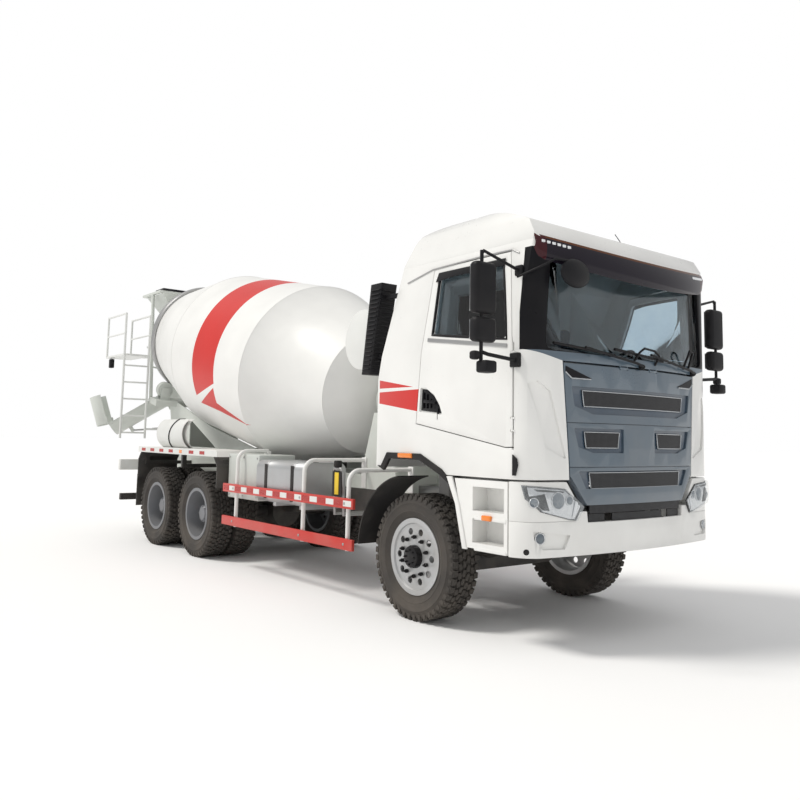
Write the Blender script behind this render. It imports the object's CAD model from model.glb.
"""A concrete mixer truck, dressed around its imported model.

Metres. +X is forward, +Y the truck's left, +Z up, with the ground at z = 0.
"""

from math import asin, ceil, copysign, cos, dist, pi, radians, sin, sqrt

import bmesh
import bpy
from mathutils import Matrix, Vector


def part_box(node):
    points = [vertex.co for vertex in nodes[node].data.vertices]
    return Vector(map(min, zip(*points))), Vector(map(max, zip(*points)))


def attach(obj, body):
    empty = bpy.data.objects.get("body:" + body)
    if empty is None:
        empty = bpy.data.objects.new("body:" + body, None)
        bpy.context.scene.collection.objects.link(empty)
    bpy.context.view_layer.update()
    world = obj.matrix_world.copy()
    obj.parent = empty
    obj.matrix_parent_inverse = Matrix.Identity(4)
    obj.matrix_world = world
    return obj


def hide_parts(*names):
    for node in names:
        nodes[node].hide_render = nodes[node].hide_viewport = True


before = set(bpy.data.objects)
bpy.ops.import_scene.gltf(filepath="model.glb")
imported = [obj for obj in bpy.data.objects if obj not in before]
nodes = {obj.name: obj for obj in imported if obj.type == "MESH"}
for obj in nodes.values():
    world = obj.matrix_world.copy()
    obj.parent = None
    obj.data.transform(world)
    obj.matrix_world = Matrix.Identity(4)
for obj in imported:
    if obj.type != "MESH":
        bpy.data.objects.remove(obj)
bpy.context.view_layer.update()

# Camera: a person's eye height, off the truck's right front corner, with a wide lens.
# Its place and turn were worked out from the wheels, the guard rails and the cab's seams.
front_tyre_low, front_tyre_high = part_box("tyre_front_right")
AXLE_X = (front_tyre_low.x + front_tyre_high.x) / 2
TYRE_RADIUS = (front_tyre_high.z - front_tyre_low.z) / 2
CAMERA_AHEAD = 5.4585
CAMERA_Y = -5.634
CAMERA_Z = 1.565
CAMERA_YAW = 0.905
CAMERA_PITCH = 0.1035
CAMERA_ROLL = 0.0198
FOCAL_PIXELS = 797.93
IMAGE_PIXELS = 800
PICTURE_MIDDLE = (398.71, 354.61)
SENSOR_MM = 36.0
look = Vector(
    (-sin(CAMERA_YAW) * cos(CAMERA_PITCH), cos(CAMERA_YAW) * cos(CAMERA_PITCH), sin(CAMERA_PITCH))
)
level_right = Vector((cos(CAMERA_YAW), sin(CAMERA_YAW), 0))
level_up = level_right.cross(look)
right = level_right * cos(CAMERA_ROLL) + level_up * sin(CAMERA_ROLL)
up = level_up * cos(CAMERA_ROLL) - level_right * sin(CAMERA_ROLL)
bpy.ops.object.camera_add(location=(AXLE_X + CAMERA_AHEAD, CAMERA_Y, CAMERA_Z))
camera = bpy.context.object
camera.name = "camera"
turn = Matrix((right, up, -look)).transposed().to_4x4()
camera.matrix_world = Matrix.Translation(camera.location) @ turn
camera.data.sensor_width = SENSOR_MM
camera.data.lens = SENSOR_MM * FOCAL_PIXELS / IMAGE_PIXELS
camera.data.shift_x = (IMAGE_PIXELS / 2 - PICTURE_MIDDLE[0]) / IMAGE_PIXELS
camera.data.shift_y = (PICTURE_MIDDLE[1] - IMAGE_PIXELS / 2) / IMAGE_PIXELS
camera.data.clip_end = 500
bpy.context.scene.camera = camera


# Floor and light: a pale studio floor, a broad sky, and a low sun behind the right shoulder.
# The sky is plain white to the camera and in reflections, and dimmer as a lamp.
FLOOR_HALF = 150
bpy.ops.object.select_all(action="DESELECT")
bpy.ops.mesh.primitive_grid_add(x_subdivisions=2, y_subdivisions=2, size=2 * FLOOR_HALF)
floor = bpy.context.object
floor.name = "studio_floor"
floor_paint = bpy.data.materials.new("studio_floor")
floor_paint.use_nodes = True
floor_skin = floor_paint.node_tree.nodes["Principled BSDF"]
floor_skin.inputs["Base Color"].default_value = (0.93, 0.93, 0.93, 1)
floor_skin.inputs["Roughness"].default_value = 0.9
floor_skin.inputs["Specular IOR Level"].default_value = 0.1
floor.data.materials.append(floor_paint)

world = bpy.context.scene.world or bpy.data.worlds.new("sky")
bpy.context.scene.world = world
world.use_nodes = True
sky = world.node_tree
background = sky.nodes["Background"]
path = sky.nodes.new("ShaderNodeLightPath")
plain = sky.nodes.new("ShaderNodeMath")
plain.operation = "MAXIMUM"
sky.links.new(path.outputs["Is Camera Ray"], plain.inputs[0])
sky.links.new(path.outputs["Is Transmission Ray"], plain.inputs[1])
strength = sky.nodes.new("ShaderNodeMapRange")
strength.inputs["To Min"].default_value = 0.66
strength.inputs["To Max"].default_value = 1.0
sky.links.new(plain.outputs[0], strength.inputs["Value"])
sky.links.new(strength.outputs["Result"], background.inputs["Strength"])
background.inputs["Color"].default_value = (1, 1, 1, 1)

bpy.ops.object.light_add(type="SUN", location=(0, 0, 12))
sun = bpy.context.object
sun.name = "sun"
sun.data.energy = 1.9
sun.data.angle = radians(14)
sun.data.color = (1.0, 0.97, 0.92)
sun_direction = Vector((0.42, 0.62, -1.0))
sun.rotation_euler = sun_direction.to_track_quat("-Z", "Y").to_euler()
bpy.context.scene.view_settings.view_transform = "Standard"


# Cab panels: pressed steel and mouldings in gloss white, with a film of road dust towards the
# sills, red side flashes, and a black and slate surround to the windscreen.
CAB_FRONT = AXLE_X + 1.512
CAB_HALF = 1.25
BOW_RADIUS = 6.736
NOSE_CORNER = 0.22
SIDE_FLARE = 0.1164
BELT_Z = 2.30
WHITE = (0.83, 0.83, 0.81)
RED = (0.62, 0.018, 0.012)
SLATE = (0.085, 0.125, 0.165)
BLACK = (0.008, 0.008, 0.010)
DUST = (0.30, 0.27, 0.23)


def wire(tree, value, socket):
    """Sets a socket from a number or colour, or links it to another socket."""
    if isinstance(value, bpy.types.NodeSocket):
        tree.links.new(value, socket)
    elif isinstance(value, tuple) and len(socket.default_value) == 4:
        socket.default_value = (*value, 1)
    else:
        socket.default_value = value


def calc(tree, operation, first, second=0.0):
    """The result of a sum, comparison or other step between two values."""
    node = tree.nodes.new("ShaderNodeMath")
    node.operation = operation
    wire(tree, first, node.inputs[0])
    wire(tree, second, node.inputs[1])
    return node.outputs[0]


def above(tree, value, level):
    """One where a value is over a level."""
    return calc(tree, "GREATER_THAN", value, level)


def below(tree, value, level):
    """One where a value is under a level."""
    return calc(tree, "LESS_THAN", value, level)


def sloped(tree, value, rise, start):
    """A straight line's height over a value."""
    height = calc(tree, "MULTIPLY_ADD", value, rise)
    height.node.inputs[2].default_value = start
    return height


def all_of(tree, *tests):
    """One where every test holds, and nought elsewhere."""
    result = tests[0]
    for test in tests[1:]:
        result = calc(tree, "MULTIPLY", result, test)
    return result


def between(tree, value, low, high):
    """One where a value lies between two levels."""
    return all_of(tree, above(tree, value, low), below(tree, value, high))


def place(tree):
    """Ahead of the front axle, distance from the middle, and height, as three values."""
    coordinates = tree.nodes.new("ShaderNodeTexCoord")
    split = tree.nodes.new("ShaderNodeSeparateXYZ")
    tree.links.new(coordinates.outputs["Object"], split.inputs[0])
    ahead = calc(tree, "SUBTRACT", split.outputs["X"], AXLE_X)
    across = calc(tree, "ABSOLUTE", split.outputs["Y"])
    return ahead, across, split.outputs["Z"]


def mottle(tree, scale, detail=3.0):
    """A noise value from nought to one, on the object's own coordinates."""
    coordinates = tree.nodes.new("ShaderNodeTexCoord")
    noise = tree.nodes.new("ShaderNodeTexNoise")
    wire(tree, scale, noise.inputs["Scale"])
    noise.inputs["Detail"].default_value = detail
    tree.links.new(coordinates.outputs["Object"], noise.inputs["Vector"])
    return noise.outputs["Fac"]


def spread(tree, value, low, high, to_low=0.0, to_high=1.0):
    """A value moved from one range to another and held within it."""
    node = tree.nodes.new("ShaderNodeMapRange")
    for name, amount in (("Value", value), ("From Min", low), ("From Max", high)):
        wire(tree, amount, node.inputs[name])
    wire(tree, to_low, node.inputs["To Min"])
    wire(tree, to_high, node.inputs["To Max"])
    return node.outputs["Result"]


def blended(tree, factor, first, second):
    """One colour laid over another by a mask."""
    node = tree.nodes.new("ShaderNodeMix")
    node.data_type = "RGBA"
    wire(tree, factor, node.inputs["Factor"])
    wire(tree, first, node.inputs[6])
    wire(tree, second, node.inputs[7])
    return node.outputs[2]


def new_group(name, inputs, outputs):
    """A shader group with its named sockets; returns the tree and both of its ends."""
    tree = bpy.data.node_groups.new(name, "ShaderNodeTree")
    for label, kind, value in inputs:
        socket = tree.interface.new_socket(name=label, in_out="INPUT", socket_type=kind)
        socket.default_value = value
    for label, kind in outputs:
        tree.interface.new_socket(name=label, in_out="OUTPUT", socket_type=kind)
    return tree, tree.nodes.new("NodeGroupInput"), tree.nodes.new("NodeGroupOutput")


FLOAT = "NodeSocketFloat"
COLOR = "NodeSocketColor"
road_film, film_in, film_out = new_group(
    "road_film",
    [
        ("Color", COLOR, (0.8, 0.8, 0.8, 1)),
        ("Dust", COLOR, (*DUST, 1)),
        ("Amount", FLOAT, 0.3),
        ("Low", FLOAT, 0.3),
        ("High", FLOAT, 1.8),
        ("Gloss", FLOAT, 0.3),
        ("Grain", FLOAT, 40.0),
        ("Relief", FLOAT, 0.05),
    ],
    [("Color", COLOR), ("Roughness", FLOAT), ("Normal", "NodeSocketVector")],
)
film_place = place(road_film)
film_low = spread(road_film, film_place[2], film_in.outputs["High"], film_in.outputs["Low"])
film_cloud = spread(road_film, mottle(road_film, 3.5, 5.0), 0.38, 0.68)
film_speck = mottle(road_film, film_in.outputs["Grain"], 4.0)
film_mix = calc(road_film, "MULTIPLY", film_low, spread(road_film, film_cloud, 0.0, 1.0, 0.35, 1.0))
film_mix = calc(road_film, "ADD", film_mix, calc(road_film, "MULTIPLY", film_cloud, 0.12))
film_mask = calc(road_film, "MULTIPLY", film_mix, film_in.outputs["Amount"])
film_tone = road_film.nodes.new("ShaderNodeHueSaturation")
wire(road_film, film_in.outputs["Color"], film_tone.inputs["Color"])
wire(road_film, spread(road_film, mottle(road_film, 1.7), 0.3, 0.7, 0.95, 1.04), film_tone.inputs["Value"])
wire(
    road_film,
    blended(road_film, film_mask, film_tone.outputs["Color"], film_in.outputs["Dust"]),
    film_out.inputs["Color"],
)
film_rough = calc(road_film, "ADD", film_in.outputs["Gloss"], calc(road_film, "MULTIPLY", film_mask, 0.5))
film_rough = calc(road_film, "ADD", film_rough, spread(road_film, film_speck, 0.3, 0.7, -0.03, 0.03))
wire(road_film, film_rough, film_out.inputs["Roughness"])
film_bump = road_film.nodes.new("ShaderNodeBump")
film_bump.inputs["Distance"].default_value = 0.002
wire(road_film, film_in.outputs["Relief"], film_bump.inputs["Strength"])
wire(road_film, film_speck, film_bump.inputs["Height"])
wire(road_film, film_bump.outputs["Normal"], film_out.inputs["Normal"])


def coated(name, color, amount=0.25, low=0.3, high=1.9, gloss=0.3, grain=40.0, relief=0.04, **shader):
    """A material under the road film; keywords set the shader's own sockets."""
    material = bpy.data.materials.new(name)
    material.use_nodes = True
    tree = material.node_tree
    film = tree.nodes.new("ShaderNodeGroup")
    film.node_tree = road_film
    film.name = "film"
    wire(tree, color, film.inputs["Color"])
    amounts = (amount, low, high, gloss, grain, relief)
    for label, value in zip(("Amount", "Low", "High", "Gloss", "Grain", "Relief"), amounts):
        film.inputs[label].default_value = value
    skin = tree.nodes["Principled BSDF"]
    for label in ("Roughness", "Normal"):
        tree.links.new(film.outputs[label], skin.inputs[label])
    tree.links.new(film.outputs["Color"], skin.inputs["Base Color"])
    for label, value in shader.items():
        skin.inputs[label.replace("_", " ")].default_value = value
    return material


def paint_over(material, color):
    """Puts a pattern of colours under a coated material's road film."""
    wire(material.node_tree, color, material.node_tree.nodes["film"].inputs["Color"])


def clad(material, *names):
    """Gives CAD nodes a finish."""
    for name in names:
        for holder in nodes[name].material_slots:
            holder.material = material


def dressed(piece, material, body):
    """Gives a new piece its finish, body and material slot."""
    piece.data.materials.clear()
    piece.data.materials.append(material)
    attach(piece, body)
    return piece


def only(piece):
    """Selects one object and makes it the active one."""
    bpy.ops.object.select_all(action="DESELECT")
    piece.select_set(True)
    bpy.context.view_layer.objects.active = piece


def refined(node, body, material, edge=0.004, angle=32):
    """A CAD node's surface with merged faces, softened edges and smooth curves, in its place."""
    piece = nodes[node].copy()
    piece.data = nodes[node].data.copy()
    piece.parent = None
    piece.name = node + "_finished"
    for key in [key for key in piece.keys() if key.startswith("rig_")]:
        del piece[key]
    bpy.context.scene.collection.objects.link(piece)
    only(piece)
    bpy.ops.object.mode_set(mode="EDIT")
    bpy.ops.mesh.select_all(action="SELECT")
    bpy.ops.mesh.remove_doubles(threshold=0.00002)
    bpy.ops.mesh.dissolve_limited(angle_limit=radians(0.6))
    bpy.ops.object.mode_set(mode="OBJECT")
    if edge:
        bevel = piece.modifiers.new("softened", "BEVEL")
        bevel.width = edge
        bevel.segments = 2
        bevel.limit_method = "ANGLE"
        bevel.angle_limit = radians(angle)
        bevel.use_clamp_overlap = True
        bpy.ops.object.modifier_apply(modifier="softened")
    bpy.ops.object.shade_smooth_by_angle(angle=radians(angle))
    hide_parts(node)
    return dressed(piece, material, body)


white_paint = coated("cab_white", WHITE, amount=0.12, Coat_Weight=0.6, Coat_Roughness=0.08)
shell_paint = coated("cab_shell_white", WHITE, amount=0.12, Coat_Weight=0.6, Coat_Roughness=0.08)
shell = shell_paint.node_tree
ahead, across, height = place(shell)
flash_top = below(shell, height, sloped(shell, ahead, -0.158, 2.020))
wedge = all_of(shell, flash_top, above(shell, height, 2.006))
block_top = below(shell, height, sloped(shell, ahead, 0.02, 1.980))
block_low = above(shell, height, sloped(shell, ahead, -0.143, 1.814))
flash = calc(shell, "MAXIMUM", wedge, all_of(shell, block_top, block_low))
flash = all_of(shell, flash, above(shell, across, 1.1), between(shell, ahead, -0.395, 0.16))
screen_edge = all_of(shell, above(shell, ahead, 1.315), between(shell, height, 2.245, 3.040))
cowl_low = above(shell, height, sloped(shell, across, 0.22, 1.980))
cowl = all_of(shell, above(shell, ahead, 1.28), cowl_low, between(shell, height, 2.150, 2.2451))
tilt_arms = all_of(shell, below(shell, height, 1.049), below(shell, across, 0.45))
shell_color = WHITE
for shell_mask, paint in ((flash, RED), (screen_edge, BLACK), (cowl, SLATE), (tilt_arms, BLACK)):
    shell_color = blended(shell, shell_mask, shell_color, paint)
paint_over(shell_paint, shell_color)
shell_skin = shell.nodes["Principled BSDF"]
wire(shell, spread(shell, screen_edge, 0.0, 1.0, 0.6, 0.0), shell_skin.inputs["Coat Weight"])
wire(shell, spread(shell, screen_edge, 0.0, 1.0, 0.5, 0.12), shell_skin.inputs["Specular IOR Level"])
refined("cab_shell", "cab", shell_paint, edge=0.005)
refined("cab_roof", "cab", white_paint, edge=0.006)
refined("corner_panels", "cab", shell_paint, edge=0.006)
refined("door_left", "door_left", white_paint, edge=0.005)
refined("door_right", "door_right", white_paint, edge=0.005)


# Windscreen and door glass: laminated sheets with a blue-green tint, the windscreen bonded to
# the cab's frame and the door panes held in rubber channels.
glass = bpy.data.materials.new("tinted_glass")
glass.use_nodes = True
glass_skin = glass.node_tree.nodes["Principled BSDF"]
glass_skin.inputs["Transmission Weight"].default_value = 1.0
glass_skin.inputs["IOR"].default_value = 1.45
smear = mottle(glass.node_tree, 5.0, 5.0)
wire(glass.node_tree, spread(glass.node_tree, smear, 0.4, 0.7, 0.01, 0.05), glass_skin.inputs["Roughness"])
smear_mask = spread(glass.node_tree, smear, 0.3, 0.8)
tint = blended(glass.node_tree, smear_mask, (0.62, 0.71, 0.76), (0.56, 0.66, 0.73))
wire(glass.node_tree, tint, glass_skin.inputs["Base Color"])
refined("windscreen", "cab", glass, edge=0)
for side in ("left", "right"):
    refined(f"door_glass_{side}", f"door_{side}", glass, edge=0)


# Chassis, mixer frame, chutes and tanks: welded and pressed steel in brushed-on chassis black,
# pale grey and white, cast iron for the engine and aluminium for the fuel tank, all dusty.
chassis_paint = coated(
    "chassis_black", (0.022, 0.022, 0.024), amount=0.45, high=1.5, gloss=0.5, grain=60.0, relief=0.25
)
cast_grey = coated("engine_grey", (0.09, 0.095, 0.10), amount=0.4, gloss=0.6, grain=90.0, relief=0.5)
pedestal_paint = coated("pedestal_grey", (0.64, 0.67, 0.63), amount=0.28, high=2.6, gloss=0.42, relief=0.12)
clad(chassis_paint, "frame", "front_axle", "rear_axles", "leaf_springs", "prop_shafts")
clad(chassis_paint, "knuckle_left", "knuckle_right", "tie_rod", "battery_box")
clad(pedestal_paint, "subframe", "drum_gearbox", "chute_arm", "roller_left", "roller_right")
clad(cast_grey, "engine")
refined("rear_pedestal", "chassis", pedestal_paint, edge=0.003)
for name, body in (
    ("hopper", "chassis"),
    ("discharge_funnel", "chassis"),
    ("chute_main", "chute_main"),
    ("chute_extension", "chute_extension"),
):
    refined(name, body, pedestal_paint, edge=0.002)
body_white = coated("body_white", (0.76, 0.77, 0.75), amount=0.4, high=1.9, gloss=0.36, relief=0.08)
refined("stored_chutes", "chassis", body_white, edge=0.002)
clad(body_white, "ladder")
refined("water_tank", "chassis", body_white, edge=0.03)
black_plastic = coated(
    "black_plastic", (0.012, 0.012, 0.014), amount=0.2, gloss=0.45, grain=300.0, relief=0.3,
    Specular_IOR_Level=0.16,
)
gloss_black = coated("gloss_black", BLACK, amount=0.05, gloss=0.14, relief=0.02, Specular_IOR_Level=0.2)
clad(black_plastic, "front_mudguards")
clad(white_paint, "step_panels")
steel = coated(
    "worn_steel", (0.42, 0.42, 0.42), amount=0.2, gloss=0.35, grain=120.0, relief=0.2, Metallic=0.85
)
clad(steel, "chute_jack")
refined("drum_ring", "drum", steel, edge=0.004, angle=30)
aluminium = coated(
    "tank_aluminium", (0.55, 0.56, 0.57), amount=0.3, gloss=0.38, grain=160.0, relief=0.15, Metallic=0.9
)
refined("fuel_tank", "chassis", aluminium, edge=0.004)


# Mixer drum: rolled steel cones and a cylinder, butt welded, painted white with a red band,
# with a stiff dished front and two spiral blades inside that show at the mouth.
DRUM_ORIGIN = Vector((AXLE_X - 1.680, 0, 1.980))
DRUM_TILT = radians(11.9)
DRUM_ALONG = Vector((-cos(DRUM_TILT), 0, sin(DRUM_TILT)))
DRUM_OUTWARD = Vector((sin(DRUM_TILT), 0, cos(DRUM_TILT)))
DRUM_STATIONS = [  # along the axis, radius
    (0.300, 0.560),
    (0.500, 0.726),
    (1.707, 1.180),
    (3.867, 1.180),
    (5.385, 0.860),
    (5.960, 0.620),
]
DRUM_SHEET = 0.025
WELD_HALF = 0.010
WELD_HEIGHT = 0.005


def link_new(name, mesh):
    """Puts a mesh into the scene as a piece, selected alone."""
    piece = bpy.data.objects.new(name, mesh)
    bpy.context.scene.collection.objects.link(piece)
    only(piece)
    return piece


def spun(name, outline, centre, axis, steps=64, angle=30):
    """A turned piece: a closed outline spun about an axis, its ends merged, its faces outwards."""
    mesh = bpy.data.meshes.new(name)
    corners = len(outline)
    mesh.from_pydata(outline, [(number, (number + 1) % corners) for number in range(corners)], [])
    piece = link_new(name, mesh)
    bpy.ops.object.mode_set(mode="EDIT")
    bpy.ops.mesh.select_all(action="SELECT")
    bpy.ops.mesh.spin(steps=steps, angle=2 * pi, center=centre, axis=axis)
    bpy.ops.mesh.select_all(action="SELECT")
    bpy.ops.mesh.remove_doubles(threshold=0.00002)
    bpy.ops.mesh.normals_make_consistent(inside=False)
    bpy.ops.object.mode_set(mode="OBJECT")
    bpy.ops.object.shade_smooth_by_angle(angle=radians(angle))
    return piece


def drum_place(along, outward):
    """A point above the drum's axis, in the middle plane."""
    return DRUM_ORIGIN + DRUM_ALONG * along + DRUM_OUTWARD * outward


drum_skin = [(0.180, 0.061), (0.180, 0.260)]
for number, (along, radius) in enumerate(DRUM_STATIONS):
    if number in (1, 2, 3):
        before = DRUM_STATIONS[number - 1]
        after = DRUM_STATIONS[number + 1]
        rise_before = (radius - before[1]) / (along - before[0])
        rise_after = (after[1] - radius) / (after[0] - along)
        drum_skin.append((along - WELD_HALF, radius - WELD_HALF * rise_before))
        drum_skin.append((along - WELD_HALF / 2, radius + WELD_HEIGHT))
        drum_skin.append((along + WELD_HALF / 2, radius + WELD_HEIGHT))
        drum_skin.append((along + WELD_HALF, radius + WELD_HALF * rise_after))
    else:
        drum_skin.append((along, radius))
drum_skin += [(along, radius - DRUM_SHEET) for along, radius in reversed(DRUM_STATIONS[1:])]
drum_skin += [(0.330, 0.520), (0.240, 0.250), (0.240, 0.061)]
drum = spun(
    "drum_skin", [drum_place(*point) for point in drum_skin], DRUM_ORIGIN, DRUM_ALONG, steps=128, angle=40
)
drum_paint = coated("drum_white", WHITE, amount=0.12, high=2.2, gloss=0.36, Specular_IOR_Level=0.35)
wall = drum_paint.node_tree
spot = wall.nodes.new("ShaderNodeTexCoord")


def reach(tree, direction):
    """How far a surface point lies from the drum's origin in one direction."""
    node = tree.nodes.new("ShaderNodeVectorMath")
    node.operation = "DOT_PRODUCT"
    tree.links.new(spot.outputs["Object"], node.inputs[0])
    node.inputs[1].default_value = direction
    return calc(tree, "SUBTRACT", node.outputs["Value"], DRUM_ORIGIN.dot(direction))


drum_run = reach(wall, DRUM_ALONG)
drum_rise = reach(wall, DRUM_OUTWARD)
drum_side = calc(wall, "ABSOLUTE", reach(wall, Vector((0, 1, 0))))
drum_angle = calc(wall, "MULTIPLY", calc(wall, "ARCTAN2", drum_side, drum_rise), 180 / pi)


BAND = (2.43, 3.12)
TAIL_LOW = 122.7
gap_line = sloped(wall, drum_run, 20.5, 103.5 - 20.5 * BAND[0])
tail_line = sloped(wall, drum_run, 27.0, 108.4 - 27.0 * 2.53)
band_mask = all_of(wall, between(wall, drum_run, *BAND), below(wall, drum_angle, gap_line))
tail_mask = all_of(wall, above(wall, drum_run, 2.46), between(wall, drum_angle, tail_line, TAIL_LOW))
point_top = sloped(wall, drum_run, -9.0, 139.0)
point_low = sloped(wall, drum_run, -2.0, 127.6)
point_mask = between(wall, drum_angle, point_top, point_low)
point_mask = all_of(wall, between(wall, drum_run, 1.64, 2.47), point_mask)
marks = calc(wall, "MAXIMUM", band_mask, calc(wall, "MAXIMUM", tail_mask, point_mask))
drum_color = blended(wall, marks, WHITE, RED)
splash = spread(wall, mottle(wall, 9.0, 8.0), 0.50, 0.62)
splash = calc(wall, "MULTIPLY", splash, spread(wall, drum_run, 4.6, 6.0))
drum_color = blended(wall, calc(wall, "MULTIPLY", splash, 0.4), drum_color, (0.42, 0.41, 0.38))
paint_over(drum_paint, drum_color)
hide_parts("drum_shell")
dressed(drum, drum_paint, "drum")

BLADE_TURN = 2.1
BLADE_DEPTH = 0.26
BLADE_STEPS = 60
BLADE_START = 4.3
BLADE_LENGTH = 1.6
MOUTH_BEND, MOUTH_RADIUS = DRUM_STATIONS[4]
MOUTH_SLOPES = (0.2108, 0.4174)  # of the rear cone, of the mouth's cone
blade_steel = coated(
    "blade_steel", (0.30, 0.29, 0.27), amount=0.3, gloss=0.6, grain=30.0, relief=0.5, Metallic=0.3
)
blade_points = []
blade_faces = []
for start_angle in (0, pi):
    first = len(blade_points)
    for step in range(BLADE_STEPS + 1):
        share = step / BLADE_STEPS
        along = BLADE_START + BLADE_LENGTH * share
        slope = MOUTH_SLOPES[along > MOUTH_BEND]
        skin = MOUTH_RADIUS - (along - MOUTH_BEND) * slope
        turn_angle = start_angle + share * BLADE_TURN
        for radius in (skin - DRUM_SHEET + 0.004, skin - BLADE_DEPTH):
            radial = DRUM_OUTWARD * cos(turn_angle) + Vector((0, 1, 0)) * sin(turn_angle)
            blade_points.append(DRUM_ORIGIN + DRUM_ALONG * along + radial * radius)
    for step in range(BLADE_STEPS):
        corner = first + 2 * step
        blade_faces.append((corner, corner + 1, corner + 3, corner + 2))
blade_mesh = bpy.data.meshes.new("drum_blades")
blade_mesh.from_pydata(blade_points, [], blade_faces)
blades = link_new("drum_blades", blade_mesh)
blade_wall = blades.modifiers.new("thickness", "SOLIDIFY")
blade_wall.thickness = 0.006
bpy.ops.object.modifier_apply(modifier="thickness")
bpy.ops.object.shade_smooth_by_angle(angle=radians(30))
dressed(blades, blade_steel, "drum")


# Tyres: radial truck tyres with heavy shoulder blocks, ribbed sidewalls and staggered middle
# blocks, brown with road dust; one on each front rim and two on each rear one.
AXLE_Z = TYRE_RADIUS
TYRE_HALF_SECTION = [  # out from the tyre's middle, radius
    (0.112, 0.300),
    (0.114, 0.331),
    (0.134, 0.360),
    (0.146, 0.385),
    (0.1485, 0.388),
    (0.1485, 0.394),
    (0.1465, 0.397),
    (0.1495, 0.420),
    (0.1475, 0.450),
    (0.1495, 0.453),
    (0.1495, 0.459),
    (0.1460, 0.462),
    (0.1390, 0.495),
    (0.1330, 0.513),
    (0.1180, 0.519),
]
TREAD_TOP = 0.5392
TREAD_BLOCKS = [  # middle across, width, length round, radius of its root and top, turn in degrees, stagger
    (0.115, 0.046, 0.050, 0.508, TREAD_TOP, 4, 0.0),
    (-0.115, 0.046, 0.050, 0.508, TREAD_TOP, 4, 0.5),
    (0.066, 0.036, 0.054, 0.514, TREAD_TOP, 14, 0.30),
    (-0.066, 0.036, 0.054, 0.514, TREAD_TOP, 14, 0.80),
    (0.022, 0.036, 0.056, 0.514, TREAD_TOP, -12, 0.05),
    (-0.022, 0.036, 0.056, 0.514, TREAD_TOP, -12, 0.55),
    (0.1425, 0.009, 0.034, 0.486, 0.528, 0, 0.0),
    (-0.1425, 0.009, 0.034, 0.486, 0.528, 0, 0.5),
]
PITCHES = 46


def settled(name):
    """The primitive just added, named, with its place in its mesh."""
    piece = bpy.context.object
    piece.name = name
    bpy.ops.object.transform_apply(location=True, rotation=True, scale=True)
    return piece


def cube(name, low, high):
    """A box primitive at its size and place, with its place in its mesh."""
    low = Vector(low)
    high = Vector(high)
    bpy.ops.object.select_all(action="DESELECT")
    bpy.ops.mesh.primitive_cube_add(size=1, location=(low + high) / 2, scale=high - low)
    return settled(name)


def bevelled(piece, width, segments=1, angle=30):
    """Breaks a piece's edges and shades it."""
    only(piece)
    bevel = piece.modifiers.new("edges", "BEVEL")
    bevel.width = width
    bevel.segments = segments
    bevel.limit_method = "ANGLE"
    bevel.angle_limit = radians(angle)
    bpy.ops.object.modifier_apply(modifier="edges")
    bpy.ops.object.shade_smooth_by_angle(angle=radians(40))
    return piece


def repeated(name, source, moves, keep=False):
    """One mesh of copies of a modelled piece, each set by a matrix; the source goes."""
    work = bmesh.new()
    for move in moves:
        first = len(work.verts)
        work.from_mesh(source.data)
        work.verts.ensure_lookup_table()
        bmesh.ops.transform(work, matrix=move, verts=work.verts[first:])
    mesh = bpy.data.meshes.new(name)
    work.to_mesh(mesh)
    work.free()
    if not keep:
        bpy.data.objects.remove(source)
    return link_new(name, mesh)


def joined(name, pieces):
    """Several modelled pieces made one."""
    only(pieces[0])
    for piece in pieces[1:]:
        piece.select_set(True)
    bpy.ops.object.join()
    piece = bpy.context.object
    piece.name = name
    return piece


tyre_section = [(0, out, radius) for out, radius in TYRE_HALF_SECTION]
tyre_section += [(0, -out, radius) for out, radius in reversed(TYRE_HALF_SECTION)]
tyre_parts = [spun("tyre_carcass", tyre_section, (0, 0, 0), (0, 1, 0), steps=92, angle=45)]
for middle, width, length, root, top, turn, stagger in TREAD_BLOCKS:
    block = cube("block", (-length / 2, -width / 2, root), (length / 2, width / 2, top))
    block = bevelled(block, 0.003)
    aim = Matrix.Translation((0, middle, 0)) @ Matrix.Rotation(radians(turn), 4, "Z")
    moves = []
    for pitch in range(PITCHES):
        around = 2 * pi * (pitch + stagger) / PITCHES
        moves.append(Matrix.Rotation(around, 4, "Y") @ aim)
    tyre_parts.append(repeated("tread_row", block, moves))
tyre = joined("tyre", tyre_parts)
rubber = coated(
    "tyre_rubber", (0.030, 0.027, 0.025), amount=0.55, low=0.0, high=1.5, gloss=0.75, grain=260.0, relief=0.4
)
rubber.node_tree.nodes["film"].inputs["Dust"].default_value = (0.15, 0.13, 0.11, 1)
MID_X = AXLE_X - 4.325
REAR_X = MID_X - 1.350
FRONT_WHEEL_Y = 1.010
REAR_WHEEL_Y = 0.915
TWIN_HALF = 0.1725
WHEELS = [  # node of the tyres, node of the rims, body, axle ahead, side, middles of the tyres
    ("tyre_front_left", "rim_front_left", "wheel_front_left", AXLE_X, 1, (FRONT_WHEEL_Y,)),
    ("tyre_front_right", "rim_front_right", "wheel_front_right", AXLE_X, -1, (FRONT_WHEEL_Y,)),
]
for axle, axle_x in (("mid", MID_X), ("rear", REAR_X)):
    for side, sign in (("left", 1), ("right", -1)):
        middles = (REAR_WHEEL_Y - TWIN_HALF, REAR_WHEEL_Y + TWIN_HALF)
        names = [f"{part}_{axle}_{side}" for part in ("tyres", "rims", "wheels")]
        WHEELS.append((*names, axle_x, sign, middles))
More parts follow.
